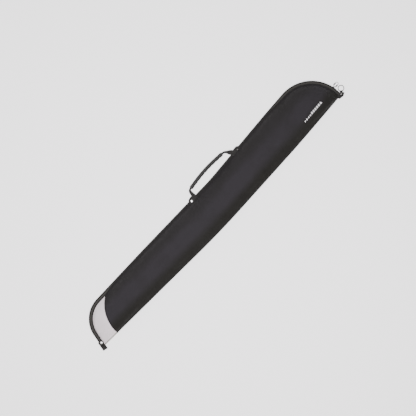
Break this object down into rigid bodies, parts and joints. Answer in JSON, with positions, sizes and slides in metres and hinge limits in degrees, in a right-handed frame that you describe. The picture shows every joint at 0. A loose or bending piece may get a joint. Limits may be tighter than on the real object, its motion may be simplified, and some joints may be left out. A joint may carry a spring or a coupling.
{
  "type": "ski bag",
  "caption": "Long slim padded bag for one pair of skis, folded along one edge and zipped round the other, with a side handle, tail guard and hanging ring.",
  "frame": {"origin": "on the flat back face that the bag rests on, about half way along and across", "axes": "+X towards the rounded tip, +Y towards the zipped edge with the handle, +Z out of the front face"},
  "size_m": [1.7806, 0.2716, 0.0444],
  "materials": {
    "black_nylon": "woven nylon, matt with a faint sheen",
    "black_webbing": "ribbed polypropylene webbing",
    "lining_cloth": "smooth lining cloth",
    "foam": "thin closed-cell foam",
    "grey_vinyl": "smooth coated fabric, light warm grey",
    "coil_plastic": "nylon coil",
    "grip_rubber": "moulded soft rubber",
    "bright_steel": "nickel-plated",
    "dark_metal": "black enamel",
    "white_print": "screen print"
  },
  "bodies": {
    "root": {"back_panel": "black_nylon", "back_padding": "foam", "back_lining": "lining_cloth", "tail_guard_back": "grey_vinyl", "fold_panel": "black_nylon", "fold_padding": "foam", "fold_lining": "lining_cloth", "tail_guard_fold": "grey_vinyl", "guard_binding_fold": "black_webbing", "fold_hem": "black_nylon", "edge_tape_back": "black_webbing", "edge_tape_tail": "black_webbing", "zipper_tape_back": "black_webbing", "zipper_coil_back": "coil_plastic", "zipper_stops_back": "dark_metal", "tail_stub": "black_webbing", "tail_rivet_cap": "bright_steel", "tail_rivet_washer": "bright_steel", "ring_tab_loop": "black_webbing", "ring_tab_patch": "black_webbing"},
    "front_flap": {"front_panel": "black_nylon", "front_padding": "foam", "front_lining": "lining_cloth", "tail_guard_front": "grey_vinyl", "guard_binding_front": "black_webbing", "front_hem": "black_nylon", "edge_tape_front": "black_webbing", "zipper_tape_front": "black_webbing", "zipper_coil_front": "coil_plastic", "zipper_stops_front": "dark_metal", "printed_mark": "white_print", "handle_tab_left": "black_webbing", "handle_tab_right": "black_webbing", "handle_rivet_caps": "bright_steel", "handle_rivet_washers": "bright_steel"},
    "handle": {"handle_strap": "black_webbing", "handle_grip": "grip_rubber"},
    "zip_slider": {"zipper_slider": "dark_metal", "slider_bail": "dark_metal"},
    "zip_pull": {"pull_loop": "bright_steel", "pull_sleeves": "grip_rubber"},
    "ring": {"hanging_ring": "bright_steel"}
  },
  "joints": [
    {"name": "front_opens", "type": "hinge", "parent": "root", "child": "front_flap", "pos_m": [0, -0.054, 0.0443], "axis": [1, 0, 0], "range_deg": [0, 150]},
    {"name": "handle_swing", "type": "hinge", "parent": "front_flap", "child": "handle", "pos_m": [-0.017, 0.1032, 0.012], "axis": [0.9993, 0.0377, 0], "range_deg": [0, 130]},
    {"name": "slider_travel", "type": "hinge", "parent": "front_flap", "child": "zip_slider", "pos_m": [0.664, -0.062, 0.0059], "axis": [0, 0, 1], "range_deg": [0, 80]},
    {"name": "pull_swing", "type": "hinge", "parent": "zip_slider", "child": "zip_pull", "pos_m": [0.8634, -0.027, 0.0059], "axis": [0, -1, 0], "range_deg": [-80, 90]},
    {"name": "ring_swing", "type": "hinge", "parent": "root", "child": "ring", "pos_m": [0.8709, -0.06878, 0.005], "axis": [-0.7431, 0.6691, 0], "range_deg": [-90, 90]}
  ]
}
